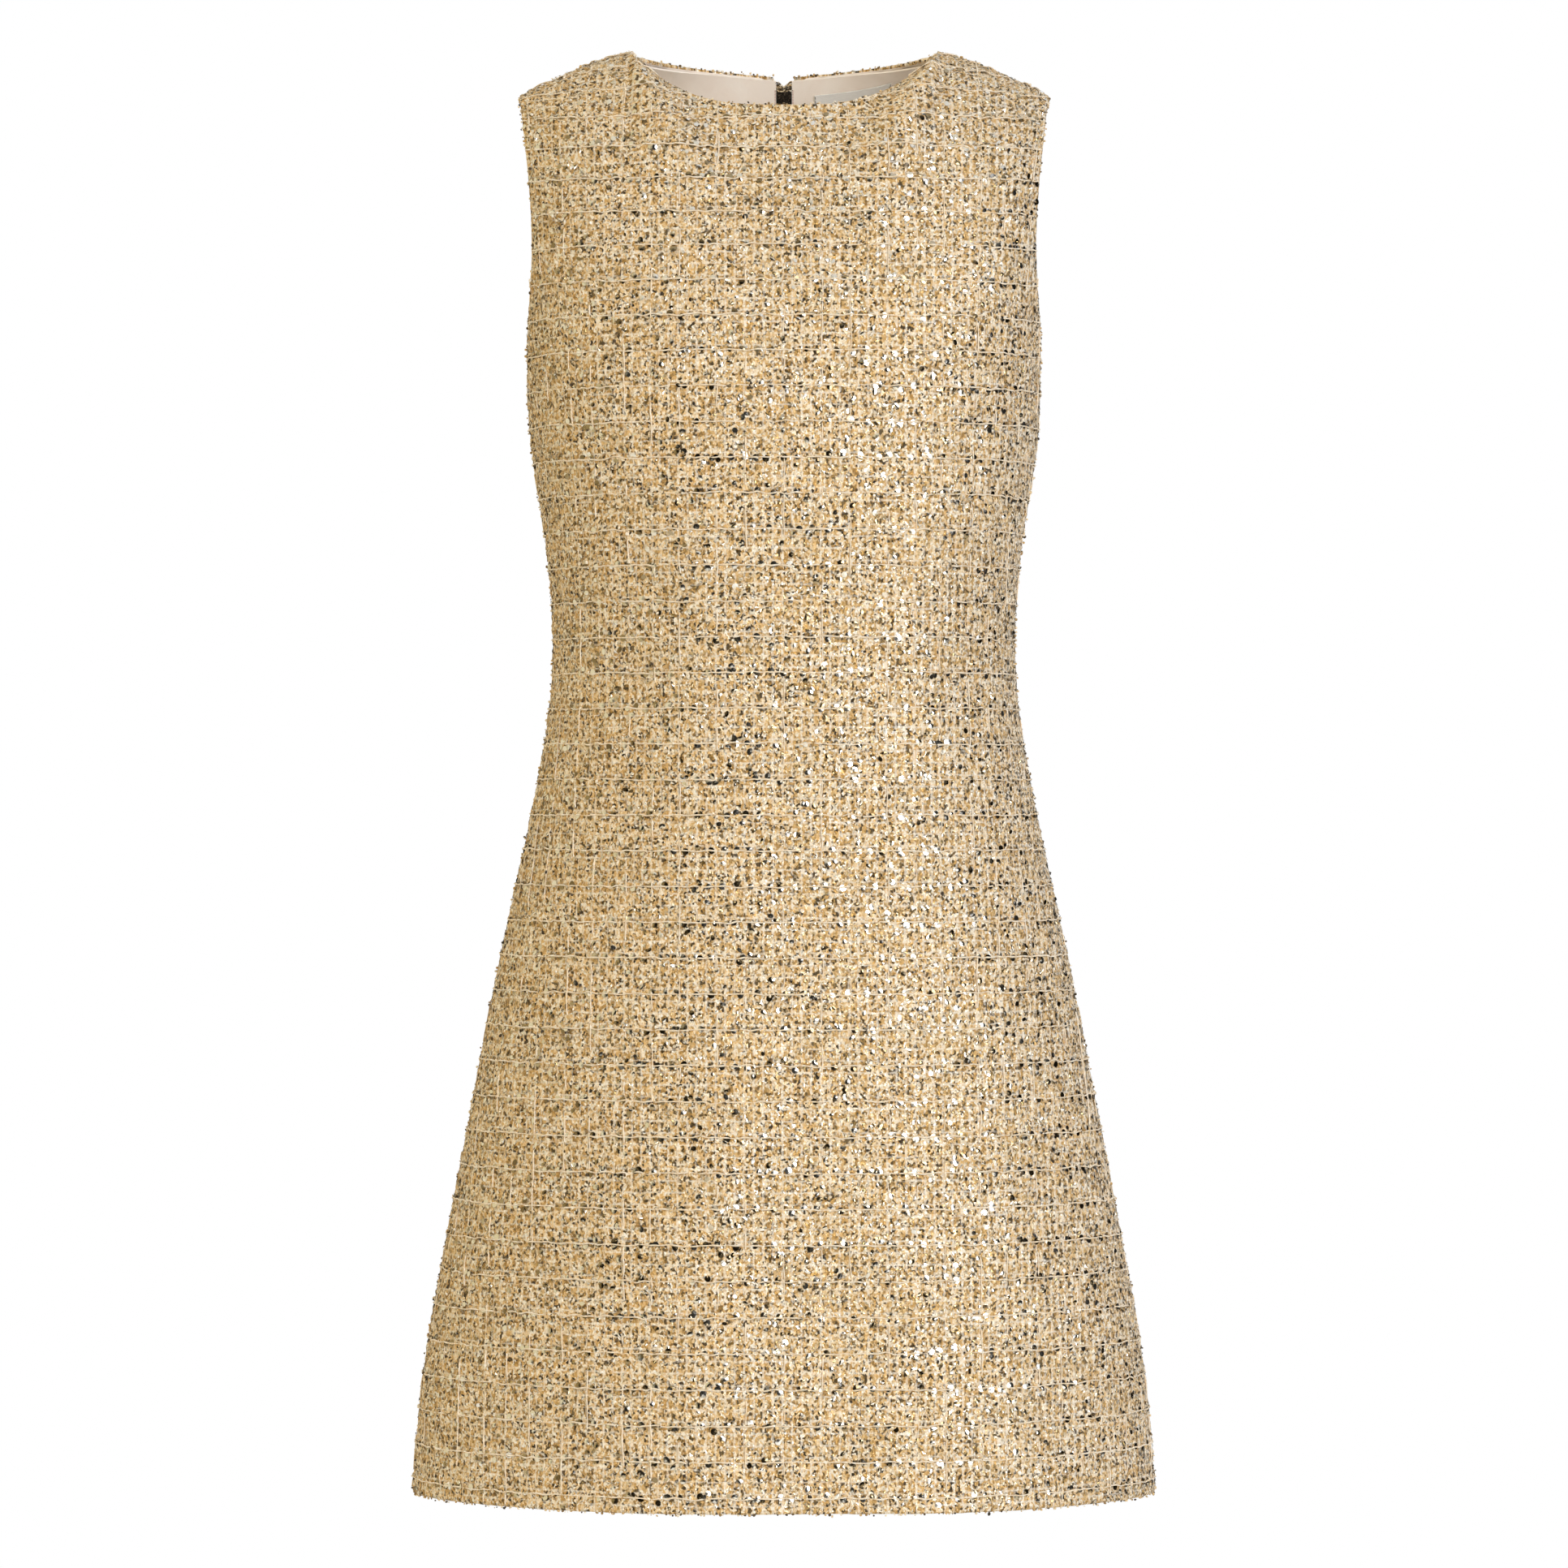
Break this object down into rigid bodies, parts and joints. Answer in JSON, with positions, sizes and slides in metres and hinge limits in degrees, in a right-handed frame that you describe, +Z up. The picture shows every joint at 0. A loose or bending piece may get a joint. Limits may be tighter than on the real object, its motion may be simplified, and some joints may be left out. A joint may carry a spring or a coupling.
{
  "type": "shift dress",
  "caption": "Sleeveless round-neck shift dress in its hollow worn form, in sequinned tweed with an exposed centre-back zip.",
  "frame": {"origin": "midway between the neck ends of the two shoulder seams, where the wearer's shoulders hold the dress", "axes": "+Z up along the dress from hem to neck, -Y out of the front, +X to the wearer's left"},
  "size_m": [0.4481, 0.2708, 0.8672],
  "materials": {
    "tweed": "open gold and champagne tweed with metallic yarn and small disc sequins",
    "lining": "smooth nude satin-faced lining",
    "label": "pale woven satin label, blank",
    "zip_tape": "black woven tape",
    "zip_metal": "dark gunmetal, satin"
  },
  "bodies": {
    "dress": {"front_panel": "tweed", "back_panel_left": "tweed", "back_panel_right": "tweed", "lining_back_left": "lining", "lining_back_right": "lining", "label": "label", "zip_tape_left": "zip_tape", "zip_tape_right": "zip_tape", "zip_chain": "zip_metal", "zip_slider": "zip_metal"},
    "pull_tab": {"zip_pull": "zip_metal"}
  },
  "joints": [
    {"name": "pull_tab_hinge", "type": "hinge", "parent": "dress", "child": "pull_tab", "pos_m": [0, 0.06602, -0.01891], "axis": [1, 0, 0], "range_deg": [0, 170]}
  ]
}
